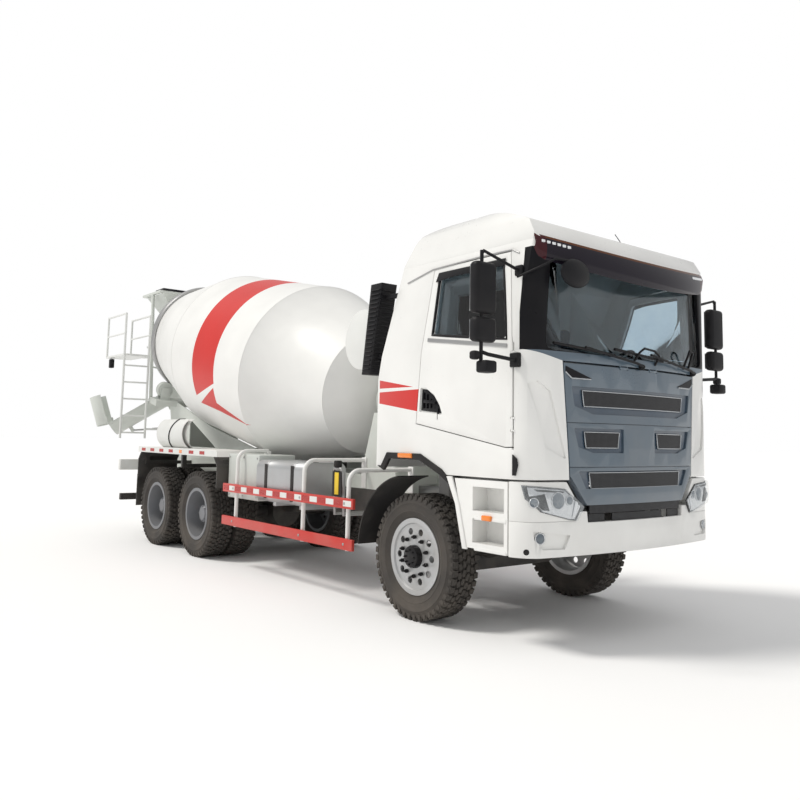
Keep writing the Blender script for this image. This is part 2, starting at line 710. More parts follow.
for tyre_node, rim_node, body, axle_x, sign, middles in WHEELS:
    moves = [Matrix.Translation((axle_x, sign * middle, AXLE_Z)) for middle in middles]
    fitted = repeated(tyre_node + "_treaded", tyre, moves, keep=True)
    bpy.ops.object.shade_smooth_by_angle(angle=radians(40))
    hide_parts(tyre_node)
    dressed(fitted, rubber, body)
bpy.data.objects.remove(tyre)


# Wheels: pressed steel discs in silver, each held by ten nuts on a ring of studs, with a black
# cap on the front hub and a bolted half-shaft flange on the rear ones.
rim_silver = coated(
    "rim_silver", (0.50, 0.51, 0.52), amount=0.4, low=0.1, high=1.3, gloss=0.34, grain=70.0, relief=0.1,
    Metallic=0.6,
)
rim_grey = coated(
    "rim_grey", (0.20, 0.21, 0.23), amount=0.3, low=0.1, high=1.3, gloss=0.40, grain=70.0, relief=0.1,
    Metallic=0.3,
)
NUT_RING = 0.1675
NUTS = 10
FRONT_FACE = 0.112
REAR_FACE = 0.014


def cylinder(name, sides, radius, length, middle, turn=(0, 0, 0)):
    """A round or many-sided bar at its size and place."""
    bpy.ops.object.select_all(action="DESELECT")
    bpy.ops.mesh.primitive_cylinder_add(
        vertices=sides, radius=radius, depth=length, location=middle, rotation=turn
    )
    return settled(name)


def wheel_nuts(name, count, ring, face, size, length):
    """A ring of nuts on studs about the Y axis, standing outwards from a face."""
    upright = (pi / 2, 0, 0)
    nut = cylinder("nut", 6, size, length, (0, face + length / 2, ring), upright)
    bevelled(nut, size * 0.16)
    stud = cylinder("stud", 10, size * 0.55, length * 1.6, (0, face + length * 0.8, ring), upright)
    pair = joined(name, [nut, stud])
    return repeated(name, pair, [Matrix.Rotation(2 * pi * k / count, 4, "Y") for k in range(count)])


HUB_CAP = [(0.108, 0.0), (0.108, 0.100), (0.150, 0.097), (0.166, 0.090), (0.173, 0.074), (0.173, 0.0)]
SHAFT_FLANGE = [(0.188, 0.0), (0.188, 0.108), (0.202, 0.107), (0.204, 0.084), (0.217, 0.080), (0.219, 0.0)]
for tyre_node, rim_node, body, axle_x, sign, middles in WHEELS:
    front = len(middles) == 1
    refined(rim_node, body, rim_silver if front else rim_grey, edge=0.0015, angle=28)
    centre_y = FRONT_WHEEL_Y if front else REAR_WHEEL_Y
    outline = [(0, out, radius) for out, radius in (HUB_CAP if front else SHAFT_FLANGE)]
    hub = spun("hub", outline, (0, 0, 0), (0, 1, 0), steps=40)
    small = wheel_nuts("cap_bolts", 8, 0.062 if front else 0.094, 0.172 if front else 0.203, 0.009, 0.012)
    hub = joined("hub", [hub, small])
    nuts = wheel_nuts("nuts", NUTS, NUT_RING, FRONT_FACE if front else REAR_FACE, 0.019, 0.026)
    turn = Matrix.Translation((axle_x, sign * centre_y, AXLE_Z))
    if sign < 0:
        turn = turn @ Matrix.Rotation(pi, 4, "Z")
    hub = repeated(rim_node + "_hub", hub, [turn])
    dressed(hub, gloss_black if front else rim_grey, body)
    nuts = repeated(rim_node + "_nuts", nuts, [turn])
    dressed(nuts, gloss_black if front else steel, body)


# Front flap: one pressed steel panel in slate paint, hinged along its top, with four grille
# fields closed by black mesh inserts in bright frames, and two black vents near its top corners.
PRESSED_DEPTH = 0.018
NOSE_START = 1.03
NOSE_CENTRE = CAB_FRONT - BOW_RADIUS + sqrt((BOW_RADIUS - NOSE_CORNER) ** 2 - NOSE_START ** 2)
BOW_END = NOSE_START * BOW_RADIUS / (BOW_RADIUS - NOSE_CORNER)
BEND_CUTS = [-1.0, -0.84, -0.72, -0.6, -0.48, -0.36, -0.24, -0.12, 0.0]
BEND_CUTS += [-cut for cut in BEND_CUTS[:-1]]
BEND_CUTS += [side * cut for side in (-1, 1) for cut in (1.065, 1.10, 1.13, 1.155, 1.18, 1.20, 1.22, 1.235)]
flap_paint = coated(
    "flap_slate", SLATE, amount=0.2, low=0.6, high=2.6, gloss=0.28, grain=120.0, relief=0.02, Coat_Weight=0.6
)
flap_tree = flap_paint.node_tree
flap_ahead, flap_across, _ = place(flap_tree)
bow_x = calc(flap_tree, "SUBTRACT", BOW_RADIUS ** 2, calc(flap_tree, "POWER", flap_across, 2.0))
bow_x = calc(flap_tree, "ADD", calc(flap_tree, "SQRT", bow_x), CAB_FRONT - AXLE_X - BOW_RADIUS)
sunk = calc(flap_tree, "SUBTRACT", bow_x, flap_ahead)
sunk = spread(flap_tree, sunk, 0.004, PRESSED_DEPTH - 0.002)
paint_over(flap_paint, blended(flap_tree, sunk, SLATE, (0.030, 0.060, 0.100)))
refined("front_flap", "front_flap", flap_paint, edge=0.003, angle=28)


def front_skin(across, offset):
    """A point of the cab front's plan, ahead and across, set out from its skin."""
    side = copysign(1, across)
    reach = abs(across)
    if reach < BOW_END:
        turn = asin(reach / BOW_RADIUS)
        radius = BOW_RADIUS + offset
        return CAB_FRONT - BOW_RADIUS + radius * cos(turn), side * radius * sin(turn)
    turn = asin(min((reach - NOSE_START) / NOSE_CORNER, 1))
    radius = NOSE_CORNER + offset
    return NOSE_CENTRE + radius * cos(turn), side * (NOSE_START + radius * sin(turn))


def side_skin(height, offset):
    """The distance from the middle of the cab's side at a height, set out from its skin."""
    return CAB_HALF - max(height - BELT_Z, 0) * SIDE_FLARE + offset


def flat_sheet(name, outline, upright):
    """A flat face from an outline in the cross plane or, if upright is a side, in the side plane."""
    turn = 0
    for (first, low), (second, high) in zip(outline, outline[1:] + outline[:1]):
        turn += first * high - second * low
    mesh = bpy.data.meshes.new(name)
    if upright:
        corners = [(AXLE_X + along, upright, up) for along, up in outline]
        facing = turn * -upright > 0
    else:
        corners = [(0, across, up) for across, up in outline]
        facing = turn > 0
    mesh.from_pydata(corners, [], [tuple(range(len(corners)))])
    piece = link_new(name, mesh)
    if not facing:
        mesh.flip_normals()
    return piece


def thickened(piece, amount, edge):
    """Gives a sheet its thickness outwards and softens its edges."""
    wall = piece.modifiers.new("thickness", "SOLIDIFY")
    wall.thickness = amount
    wall.offset = 1
    wall.use_even_offset = True
    bpy.ops.object.modifier_apply(modifier="thickness")
    if edge:
        bevelled(piece, edge, segments=2, angle=50)
    else:
        bpy.ops.object.shade_smooth_by_angle(angle=radians(40))
    return piece


def front_plate(name, outline, low, high, edge=0.0):
    """A plate bent to the cab front between two heights over its skin; outline across and up."""
    piece = flat_sheet(name, outline, 0)
    reaches = [across for across, up in outline]
    bpy.ops.object.mode_set(mode="EDIT")
    for cut in BEND_CUTS:
        if min(reaches) + 0.004 < cut < max(reaches) - 0.004:
            bpy.ops.mesh.select_all(action="SELECT")
            bpy.ops.mesh.bisect(plane_co=(0, cut, 0), plane_no=(0, 1, 0))
    bpy.ops.object.mode_set(mode="OBJECT")
    for corner in piece.data.vertices:
        corner.co.x, corner.co.y = front_skin(corner.co.y, low)
    return thickened(piece, high - low, edge)


def side_plate(name, side, outline, low, high, edge=0.0):
    """A plate on the cab's side between two heights over its skin; outline ahead and up."""
    piece = flat_sheet(name, outline, side)
    bpy.ops.object.mode_set(mode="EDIT")
    bpy.ops.mesh.select_all(action="SELECT")
    bpy.ops.mesh.bisect(plane_co=(0, 0, BELT_Z), plane_no=(0, 0, 1))
    bpy.ops.object.mode_set(mode="OBJECT")
    for corner in piece.data.vertices:
        corner.co.y = side * side_skin(corner.co.z, low)
    return thickened(piece, high - low, edge)


def rod_along(name, points, radius, closed=False, sides=2):
    """A round bar through a row of points, modelled as a curve and turned into a mesh."""
    curve = bpy.data.curves.new(name, "CURVE")
    curve.dimensions = "3D"
    curve.bevel_depth = radius
    curve.bevel_resolution = sides
    curve.use_fill_caps = not closed
    line = curve.splines.new("POLY")
    line.points.add(len(points) - 1)
    for spot_on, point in zip(line.points, points):
        spot_on.co = (*point, 1)
    line.use_cyclic_u = closed
    piece = bpy.data.objects.new(name, curve)
    bpy.context.scene.collection.objects.link(piece)
    only(piece)
    bpy.ops.object.convert(target="MESH")
    piece = bpy.context.object
    bpy.ops.object.shade_smooth_by_angle(angle=radians(50))
    return piece


def walked(points, step, closed=True):
    """Points at short steps along straight lines between the given ones."""
    spaced = []
    following = points[1:] + points[:1] if closed else points[1:]
    for first, second in zip(points, following):
        count = max(1, ceil(dist(first, second) / step))
        for part in range(count):
            spaced.append(tuple(a + (b - a) * part / count for a, b in zip(first, second)))
    if not closed:
        spaced.append(points[-1])
    return spaced


mesh_black = bpy.data.materials.new("grille_mesh")
mesh_black.use_nodes = True
honeycomb = mesh_black.node_tree
_, cell_across, cell_height = place(honeycomb)
cells = honeycomb.nodes.new("ShaderNodeTexVoronoi")
cells.feature = "DISTANCE_TO_EDGE"
cells.inputs["Scale"].default_value = 75
cells.inputs["Randomness"].default_value = 0.0
flat = honeycomb.nodes.new("ShaderNodeCombineXYZ")
wire(honeycomb, cell_across, flat.inputs["X"])
wire(honeycomb, calc(honeycomb, "MULTIPLY", cell_height, 1.5), flat.inputs["Y"])
wire(honeycomb, flat.outputs[0], cells.inputs["Vector"])
cell_edge = spread(honeycomb, cells.outputs["Distance"], 0.10, 0.16)
cell_shader = honeycomb.nodes["Principled BSDF"]
cell_color = blended(honeycomb, cell_edge, (0.035, 0.036, 0.040), (0.004, 0.004, 0.005))
wire(honeycomb, cell_color, cell_shader.inputs["Base Color"])
wire(honeycomb, spread(honeycomb, cell_edge, 0.0, 1.0, 0.35, 0.8), cell_shader.inputs["Roughness"])
frame_bright = coated("frame_bright", (0.42, 0.44, 0.46), amount=0.1, gloss=0.2, relief=0.02, Metallic=0.8)
GRILLES = [  # from the middle, to, bottom, top
    (-0.680, 0.680, 1.834, 1.956),
    (0.255, 0.660, 1.514, 1.636),
    (-0.660, -0.255, 1.514, 1.636),
    (-0.610, 0.610, 1.200, 1.322),
]
GRILLE_SLANT = 0.018
frames = []
for number, (start, end, bottom, top) in enumerate(GRILLES):
    outline = [(start + GRILLE_SLANT, bottom), (end - GRILLE_SLANT, bottom), (end, top), (start, top)]
    insert = front_plate(f"grille_mesh_{number}", outline, 0.002 - PRESSED_DEPTH, 0.008 - PRESSED_DEPTH)
    dressed(insert, mesh_black, "front_flap")
    loop = [(*front_skin(across, 0.008 - PRESSED_DEPTH), up) for across, up in walked(outline, 0.06)]
    frames.append(rod_along("frame", loop, 0.0055, closed=True))
dressed(joined("grille_frames", frames), frame_bright, "front_flap")
FLAP_VENT = [(0.862, 2.138), (0.585, 2.052), (0.800, 2.052), (0.862, 2.098)]
FLAP_LIP = [(0.600, 2.046), (0.803, 2.046), (0.868, 2.094)]


def on_side(side, outline):
    """An outline turned to one side of the middle."""
    return [(side * across, up) for across, up in outline]


vents = []
lips = []
for side in (-1, 1):
    vents.append(front_plate("vent", on_side(side, FLAP_VENT), 0.0, 0.004))
    lip = walked(on_side(side, FLAP_LIP), 0.05, closed=False)
    lips.append(rod_along("lip", [(*front_skin(across, 0.004), up) for across, up in lip], 0.007))
dressed(joined("flap_vents", vents), gloss_black, "front_flap")
dressed(joined("flap_vent_lips", lips), frame_bright, "front_flap")


# Headlamps and fog lamps: bright reflectors and glass lenses in dark bowls under clear covers,
# let into the moulded bumper corners, with a ringed fog lamp in a scooped recess below.
LAMP_OUTLINE = [
    (1.215, 1.232), (0.875, 1.205), (0.695, 1.070), (0.760, 0.965),
    (0.830, 0.970), (1.10, 1.035), (1.198, 1.13),
]
LAMP_BROW = [(1.15, 1.205), (0.885, 1.185), (0.90, 1.175), (1.13, 1.188)]
LAMP_WING = [(1.180, 1.150), (1.075, 1.170), (1.03, 1.045), (1.090, 1.050), (1.170, 1.12)]
LAMP_STRIP = [(0.775, 1.115), (0.752, 1.098), (0.785, 0.990), (0.806, 0.993)]
FOG_SCOOP = [(0.870, 0.755), (1.080, 0.760), (1.145, 0.835), (1.155, 0.895), (0.815, 0.855)]
reflector = coated(
    "lamp_reflector", (0.62, 0.64, 0.66), amount=0.05, gloss=0.12, grain=30.0, relief=0.6, Metallic=0.85
)
lamp_glass = bpy.data.materials.new("lamp_clear")
lamp_glass.use_nodes = True
lamp_tree = lamp_glass.node_tree
lamp_skin = lamp_tree.nodes["Principled BSDF"]
lamp_skin.inputs["Base Color"].default_value = (0.80, 0.85, 0.88, 1)
lamp_haze = mottle(lamp_tree, 14.0, 4.0)
wire(lamp_tree, spread(lamp_tree, lamp_haze, 0.35, 0.7, 0.14, 0.24), lamp_skin.inputs["Alpha"])
wire(lamp_tree, spread(lamp_tree, lamp_haze, 0.35, 0.7, 0.02, 0.08), lamp_skin.inputs["Roughness"])
lens_glass = coated("lamp_lens", (0.10, 0.13, 0.16), amount=0.02, gloss=0.05, relief=0.0, Coat_Weight=1.0)
orange = coated(
    "marker_orange", (0.85, 0.22, 0.01), amount=0.06, gloss=0.15, grain=200.0, relief=0.3, Coat_Weight=0.7
)
strip_white = coated("marker_white", (0.80, 0.82, 0.84), amount=0.02, gloss=0.2, relief=0.02)
refined("headlamps", "chassis", white_paint, edge=0.006)


def shrunk(outline, share):
    """An outline drawn in towards its middle."""
    middle = [sum(values) / len(outline) for values in zip(*outline)]
    return [tuple(m + (value - m) * share for value, m in zip(corner, middle)) for corner in outline]


def facing_out(across, up, base):
    """The place and turn of a round fitting on the cab front, over its skin."""
    skin = front_skin(across, base)
    out = front_skin(across, base + 1)
    aim = Vector((out[0] - skin[0], out[1] - skin[1], 0)).to_track_quat("Z", "Y")
    return {"location": (*skin, up), "rotation": aim.to_euler()}


def dome(name, across, up, radius, base, stands):
    """A shallow lens on the cab front at a place over its skin."""
    bpy.ops.object.select_all(action="DESELECT")
    bpy.ops.mesh.primitive_uv_sphere_add(
        segments=28, ring_count=14, scale=(radius, radius, stands), **facing_out(across, up, base)
    )
    piece = settled(name)
    bpy.ops.object.shade_smooth()
    return piece


def ring(name, across, up, radius, thickness, base):
    """A round trim ring on the cab front at a place over its skin."""
    bpy.ops.object.select_all(action="DESELECT")
    bpy.ops.mesh.primitive_torus_add(
        major_radius=radius, minor_radius=thickness, major_segments=36, minor_segments=8,
        **facing_out(across, up, base),
    )
    piece = settled(name)
    bpy.ops.object.shade_smooth()
    return piece


bowls = []
bright = []
lenses = []
covers = []
marker_strips = []
scoops = []
LAMP_PLATES = [  # what it joins, name, outline, lowest and highest over the skin, edge
    (bowls, "bowl", LAMP_OUTLINE, 0.0005, 0.006, 0.002),
    (bright, "reflector", shrunk(LAMP_OUTLINE, 0.90), 0.006, 0.009, 0.001),
    (bowls, "brow", LAMP_BROW, 0.009, 0.014, 0.0),
    (bowls, "wing", LAMP_WING, 0.009, 0.013, 0.0),
    (marker_strips, "strip", LAMP_STRIP, 0.009, 0.016, 0.002),
    (covers, "cover", LAMP_OUTLINE, 0.0055, 0.034, 0.010),
    (scoops, "scoop", FOG_SCOOP, -0.022, 0.02, 0.0),
]
LAMP_LENSES = [  # name, middle across and up, radius, base over the skin, stands out; then its ring
    ("projector", 0.945, 1.118, 0.058, 0.009, 0.020, 0.062, 0.005, 0.011),
    ("side_lens", 1.150, 1.105, 0.030, 0.009, 0.016, 0.034, 0.005, 0.011),
    ("turn_lens", 0.835, 1.118, 0.030, 0.009, 0.014, 0.034, 0.005, 0.011),
    ("fog_lens", 1.095, 0.842, 0.036, -0.020, 0.012, 0.040, 0.006, -0.016),
]
for side in (-1, 1):
    for group, name, outline, low, high, edge in LAMP_PLATES:
        group.append(front_plate(name, on_side(side, outline), low, high, edge=edge))
    for name, across, up, radius, base, stands, ring_radius, thickness, ring_base in LAMP_LENSES:
        lenses.append(dome(name, side * across, up, radius, base, stands))
        bright.append(ring(name + "_ring", side * across, up, ring_radius, thickness, ring_base))
    bowls.append(dome("tow_cap", side * 1.190, 0.745, 0.022, 0.0, 0.004))
dressed(joined("headlamp_bowls", bowls), gloss_black, "chassis")
dressed(joined("headlamp_reflectors", bright), reflector, "chassis")
dressed(joined("headlamp_lenses", lenses), lens_glass, "chassis")
dressed(joined("headlamp_covers", covers), lamp_glass, "chassis")
bumper_white = refined("bumper", "chassis", white_paint, edge=0.010)
scoop_cutter = joined("scoop_cutter", scoops)
only(bumper_white)
pressing = bumper_white.modifiers.new("scoops", "BOOLEAN")
pressing.object = scoop_cutter
bpy.ops.object.modifier_apply(modifier="scoops")
bpy.ops.object.shade_smooth_by_angle(angle=radians(32))
bpy.data.objects.remove(scoop_cutter)
dressed(joined("headlamp_strips", marker_strips), strip_white, "chassis")


# Intake under the flap: black pressed-steel mesh in three panels on the bumper's sill, parted to
# let the cab's tilt arms swing through, and a black strip above it on the cab's floor.
INTAKE_PANELS = [(-0.605, -0.425), (-0.335, 0.335), (0.425, 0.605)]  # from, to across
panels = []
for start, end in INTAKE_PANELS:
    outline = [(start, 0.940), (end, 0.940), (end, 1.005), (start, 1.005)]
    panels.append(front_plate("panel", outline, -0.030, -0.022))
dressed(joined("intake_mesh", panels), mesh_black, "chassis")
strip = [(-0.605, 1.010), (0.605, 1.010), (0.605, 1.085), (-0.605, 1.085)]
dressed(front_plate("intake_strip", strip, -0.017, -0.011), mesh_black, "cab")


# Sun visor: a smoked plastic sheet bowed over the windscreen, with a bright brown top edge,
# rounded ends and a row of small clear marker lamps at each end.
VISOR_HALF = 1.150
VISOR_COLUMNS = 46
VISOR_REACH = 1.605
VISOR_RADIUS = 3.60
VISOR_END = 0.07
VISOR_SMOKE = (0.012, 0.009, 0.016)
visor_paint = coated(
    "visor_smoke", VISOR_SMOKE, amount=0.03, gloss=0.12, relief=0.01, Specular_IOR_Level=0.25
)
visor_tree = visor_paint.node_tree
_, visor_across, visor_height = place(visor_tree)
visor_top = calc(visor_tree, "MULTIPLY", calc(visor_tree, "POWER", visor_across, 2.0), 0.062)
visor_top = calc(visor_tree, "SUBTRACT", calc(visor_tree, "ADD", visor_top, 3.055), visor_height)
visor_color = blended(visor_tree, below(visor_tree, visor_top, 0.016), VISOR_SMOKE, (0.11, 0.035, 0.012))
visor_ends = all_of(visor_tree, above(visor_tree, visor_across, 1.06), 0.8)
paint_over(visor_paint, blended(visor_tree, visor_ends, visor_color, (0.06, 0.008, 0.012)))


def from_axle(points, side=1):
    """Points ahead of the front axle, out to a side and up, as places in the frame."""
    return [(AXLE_X + ahead, side * out, up) for ahead, out, up in points]


def boxed(name, ahead, out, up, side=1, edge=0.0, segments=1):
    """A block by its reach ahead of the front axle, out to a side and up, with its edges broken."""
    low_y, high_y = sorted((side * out[0], side * out[1]))
    piece = cube(name, (AXLE_X + ahead[0], low_y, up[0]), (AXLE_X + ahead[1], high_y, up[1]))
    return bevelled(piece, edge, segments=segments) if edge else piece


def visor_profile(across):
    """The visor's section at a distance from the middle, from the roof down to its lower edge."""
    front = VISOR_REACH - VISOR_RADIUS + sqrt(VISOR_RADIUS ** 2 - across ** 2)
    top = 3.055 + 0.062 * across ** 2
    bottom = 2.850 + 0.080 * across ** 2
    left = (VISOR_HALF - abs(across)) / VISOR_END
    if left < 1:
        bottom += VISOR_END * (1 - sqrt(max(1 - (1 - left) ** 2, 0)))
    return [
        (front - 0.150, across, top + 0.020),
        (front - 0.060, across, top + 0.012),
        (front - 0.024, across, top),
        (front - 0.012, across, top - 0.030),
        (front - 0.004, across, (top + bottom) / 2),
        (front - 0.008, across, bottom + 0.03),
        (front - 0.022, across, bottom),
    ]


visor_points = []
visor_faces = []
for column in range(VISOR_COLUMNS + 1):
    share = -1 + 2 * column / VISOR_COLUMNS
    visor_points += from_axle(visor_profile(VISOR_HALF * (0.35 * sin(share * pi / 2) + 0.65 * share)))
ROWS = len(visor_profile(0))
for column in range(VISOR_COLUMNS):
    for row in range(ROWS - 1):
        corner = column * ROWS + row
        visor_faces.append((corner, corner + 1, corner + ROWS + 1, corner + ROWS))
visor_mesh = bpy.data.meshes.new("visor_sheet")
visor_mesh.from_pydata(visor_points, [], visor_faces)
visor = link_new("visor_sheet", visor_mesh)
bpy.ops.object.mode_set(mode="EDIT")
bpy.ops.mesh.select_all(action="SELECT")
bpy.ops.mesh.normals_make_consistent(inside=False)
bpy.ops.object.mode_set(mode="OBJECT")
visor_wall = visor.modifiers.new("thickness", "SOLIDIFY")
visor_wall.thickness = 0.010
visor_wall.offset = 0
bpy.ops.object.modifier_apply(modifier="thickness")
bpy.ops.object.shade_smooth_by_angle(angle=radians(45))
brackets = [visor]
for across in (-0.7, 0.0, 0.7):
    reach = visor_profile(across)[1][0]
    span = (across - 0.025, across + 0.025)
    brackets.append(boxed("bracket", (1.36, reach), span, (3.05, 3.075), edge=0.003))
visor = joined("visor_sheet", brackets)
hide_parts("sun_visor")
dressed(visor, visor_paint, "cab")
marker_lamps = []
for side in (-1, 1):
    for order in range(6):
        across = side * (0.86 + 0.045 * order)
        ahead, _, up = visor_profile(across)[3]
        span = (across - 0.017, across + 0.017)
        lamp = boxed("lamp", (ahead - 0.004, ahead + 0.012), span, (up - 0.026, up - 0.004), 1, 0.004, 2)
        marker_lamps.append(lamp)
dressed(joined("visor_lamps", marker_lamps), strip_white, "cab")


# Mirrors: black plastic heads with glass behind, on tube arms from the pillars; two small pods
# under each lower arm, and an oval front mirror on its own arm at the right corner.
MIRROR_X = 1.272
MIRROR_Y = 1.567
STEM_X = MIRROR_X + 0.005
STEM_Y = MIRROR_Y + 0.020
HEADS = [(2.480, 2.868), (2.270, 2.456)]  # bottom, top
MIRROR_TUBES = [  # name, its bends ahead, out and up, radius
    ("stem", [(STEM_X, STEM_Y, 2.10), (STEM_X, STEM_Y, 2.955)], 0.014),
    ("top_arm", [(STEM_X, STEM_Y, 2.93), (STEM_X, STEM_Y - 0.02, 2.955), (1.28, 1.20, 2.86)], 0.013),
    ("low_arm", [(STEM_X, STEM_Y, 2.20), (STEM_X + 0.01, STEM_Y - 0.06, 2.185), (1.30, 1.235, 2.16)], 0.015),
]
MIRROR_BLOCKS = [  # name, reach ahead, out and up, edge, segments of the edge
    ("foot", (1.24, 1.33), (1.213, 1.257), (2.11, 2.22), 0.008, 1),
    ("foot", (1.24, 1.32), (1.163, 1.207), (2.82, 2.90), 0.008, 1),
    ("pod", (MIRROR_X - 0.020, MIRROR_X + 0.090), (1.50, 1.62), (2.045, 2.135), 0.018, 2),
    ("pod", (MIRROR_X - 0.045, MIRROR_X + 0.020), (1.60, 1.665), (2.140, 2.205), 0.018, 2),
]
for low, high in HEADS:
    head = ("head", (MIRROR_X - 0.045, MIRROR_X + 0.050), (MIRROR_Y - 0.108, MIRROR_Y + 0.108), (low, high))
    MIRROR_BLOCKS.append((*head, 0.036, 4))
mirror_glass = coated("mirror_glass", (0.75, 0.78, 0.80), amount=0.04, gloss=0.04, relief=0.0, Metallic=1.0)
housings = []
panes = []
for side in (-1, 1):
    for name, ahead, out, up, edge, segments in MIRROR_BLOCKS:
        housings.append(boxed(name, ahead, out, up, side, edge, segments))
    for name, bends, radius in MIRROR_TUBES:
        housings.append(rod_along(name, from_axle(bends, side), radius))
    for low, high in HEADS:
        span = (MIRROR_Y - 0.090, MIRROR_Y + 0.090)
        pane_x = (MIRROR_X - 0.048, MIRROR_X - 0.044)
        panes.append(boxed("pane", pane_x, span, (low + 0.018, high - 0.018), side, edge=0.002))
OVAL_X = 1.545
OVAL_BENDS = [(1.30, 1.235, 2.80), (1.46, 1.16, 2.865), (1.53, 1.06, 2.93), (1.55, 0.93, 2.93)]
OVAL_BENDS.append((OVAL_X, 0.88, 2.90))
bpy.ops.object.select_all(action="DESELECT")
bpy.ops.mesh.primitive_uv_sphere_add(
    segments=32, ring_count=16, location=(AXLE_X + OVAL_X, -0.85, 2.845), scale=(0.045, 0.165, 0.112)
)
housings.append(settled("oval"))
bpy.ops.object.shade_smooth()
housings.append(rod_along("oval_arm", walked(from_axle(OVAL_BENDS, -1), 0.05, closed=False), 0.009))
mirrors = joined("mirror_heads", housings)
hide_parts("mirrors")
dressed(mirrors, black_plastic, "cab")
dressed(joined("mirror_panes", panes), mirror_glass, "cab")


# Door and cab side fittings: black ribbed handle plates, rubber window seals, smoked rain
# visors, belt trims, drip rails, black arch lips and white arch strips with orange lamps.
HANDLE_PLATE = [
    (0.188, 1.800), (0.460, 1.772), (0.430, 1.838), (0.362, 1.918), (0.268, 1.975), (0.200, 1.983)
]
HANDLE_FLOOR = 0.001 - PRESSED_DEPTH
HANDLE_BAR = [(0.250, 1.862), (0.395, 1.850), (0.395, 1.878), (0.250, 1.892)]
DOOR_WINDOW = [(0.315, 2.440), (1.205, 2.330), (1.100, 2.950), (0.335, 2.950)]
RAIN_VISOR = [(0.300, 2.905), (0.330, 2.985), (1.125, 2.985), (1.118, 2.925), (0.520, 2.925)]
BELT_TRIM = [(0.265, 2.418), (1.215, 2.296), (1.215, 2.264), (0.265, 2.386)]
DRIP_RAIL = [(-0.10, 2.955), (0.240, 3.030), (0.80, 3.045), (1.180, 3.045), (1.262, 3.005)]
ARCH_LIP = [
    (-0.400, 1.312), (-0.345, 1.312), (-0.262, 1.432), (0.205, 1.432), (0.485, 1.312),
    (0.600, 1.220), (0.560, 1.205), (0.455, 1.268), (0.190, 1.378), (-0.225, 1.378), (-0.305, 1.272),
]
ARCH_STRIP = [(0.548, 1.262), (0.612, 1.262), (0.700, 1.060), (0.795, 0.705), (0.745, 0.705), (0.655, 1.050)]
CORNER_NOTCH = [(1.272, 1.300), (1.272, 1.455), (1.312, 1.425), (1.322, 1.380), (1.300, 1.300)]
SIDE_LAMPS = [("cab", 0.010, 1.410, 0.095), ("chassis", 1.018, 0.962, 0.050)]  # body, ahead, up, half length
for side, name in ((1, "left"), (-1, "right")):
    door = f"door_{name}"
    handle = [side_plate("plate", side, HANDLE_PLATE, HANDLE_FLOOR, HANDLE_FLOOR + 0.005, edge=0.002)]
    for order in range(5):
        along = 0.215 + 0.048 * order
        crest = 1.955 - 0.060 * order * order / 4
        rib = [(along, 1.815), (along + 0.014, 1.815), (along + 0.014, crest), (along, crest)]
        handle.append(side_plate("rib", side, rib, HANDLE_FLOOR + 0.005, HANDLE_FLOOR + 0.017, edge=0.003))
    handle.append(side_plate("bar", side, HANDLE_BAR, HANDLE_FLOOR + 0.013, HANDLE_FLOOR + 0.035, edge=0.006))
    dressed(joined(f"{door}_handle", handle), gloss_black, door)
    seal = [(ahead, side_skin(up, -0.004), up) for ahead, up in walked(DOOR_WINDOW, 0.2)]
    trims = [rod_along("seal", from_axle(seal, side), 0.013, closed=True)]
    trims.append(side_plate("rain_visor", side, RAIN_VISOR, 0.006, 0.012, edge=0.002))
    dressed(joined(f"{door}_trims", trims), black_plastic, door)
    belt = side_plate(f"{door}_belt_trim", side, BELT_TRIM, 0.0, 0.008, edge=0.003)
    dressed(belt, steel, door)
    rail = [(ahead, side_skin(up, 0.003), up) for ahead, up in walked(DRIP_RAIL, 0.1, closed=False)]
    dressed(rod_along(f"drip_rail_{name}", from_axle(rail, side), 0.007), steel, "cab")
    lip = side_plate(f"arch_lip_{name}", side, ARCH_LIP, -0.02, 0.010, edge=0.004)
    dressed(lip, black_plastic, "cab")
    for body, ahead, up, half in SIDE_LAMPS:
        span = (CAB_HALF - 0.004, CAB_HALF + 0.026)
        lamp_reach = (ahead - half, ahead + half)
        lamp = boxed(f"side_lamp_{body}_{name}", lamp_reach, span, (up - 0.020, up + 0.022), side, 0.010, 3)
        dressed(lamp, orange, body)
    strip = side_plate(f"arch_strip_{name}", side, ARCH_STRIP, -0.008, 0.012, edge=0.005)
    dressed(strip, white_paint, "chassis")
    ledge = []
    for bottom in (0.705, 0.940):
        outline = [(0.875, bottom), (1.215, bottom), (1.215, bottom + 0.028), (0.868, bottom + 0.028)]
        ledge.append(side_plate("ledge", side, outline, -0.06, 0.006, edge=0.006))
    dressed(joined(f"step_ledges_{name}", ledge), white_paint, "chassis")
    notch = side_plate(f"corner_notch_{name}", side, CORNER_NOTCH, -0.012, 0.001)
    dressed(notch, gloss_black, "cab")


